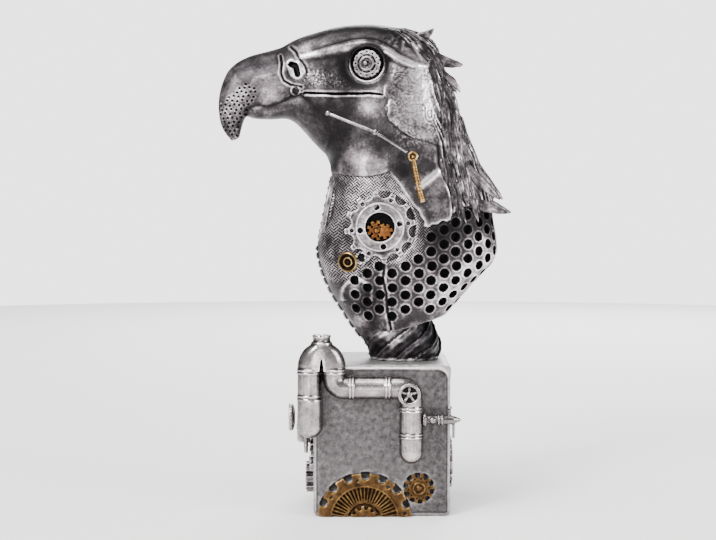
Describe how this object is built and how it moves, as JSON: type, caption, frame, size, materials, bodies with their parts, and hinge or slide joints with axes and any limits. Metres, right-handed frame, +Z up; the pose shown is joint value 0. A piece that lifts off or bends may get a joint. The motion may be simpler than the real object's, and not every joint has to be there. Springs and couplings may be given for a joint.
{
  "type": "steampunk eagle figurine",
  "caption": "Steampunk eagle bust figurine on a square plinth, with portholes, perforated neck, pipework and gears; stands on its flat underside as a shelf ornament.",
  "frame": {"origin": "centre of the plinth's flat underside", "axes": "+Z up, the beak points to -X, the eagle's left side, with the front pipework of the plinth, faces -Y"},
  "size_m": [0.1775, 0.0956, 0.2925],
  "materials": {
    "antique_silver": "antique silver paint, dark wash in the recesses, rubbed bright on the edges",
    "aged_brass": "aged brass paint with a brown wash",
    "copper": "copper paint, worn"
  },
  "bodies": {
    "root": {"plinth": "antique_silver", "eagle_bust": "antique_silver", "steam_pipe": "antique_silver", "front_valve_wheel": "antique_silver", "left_valve_wheel": "antique_silver", "side_tap": "antique_silver", "drain_pipe": "antique_silver", "half_gear": "aged_brass", "small_gear": "aged_brass", "left_gear": "antique_silver", "right_gear": "antique_silver", "back_gear": "antique_silver", "porthole_plate_left": "antique_silver", "porthole_plate_right": "antique_silver", "porthole_flange_left": "antique_silver", "porthole_flange_right": "antique_silver", "well_gears_left": "copper", "well_gears_right": "copper", "neck_boss_left": "aged_brass", "neck_boss_right": "aged_brass", "cheek_rod_left": "antique_silver", "cheek_rod_right": "antique_silver", "cheek_lever_left": "aged_brass", "cheek_lever_right": "aged_brass", "chest_disc": "antique_silver"}
  },
  "joints": []
}
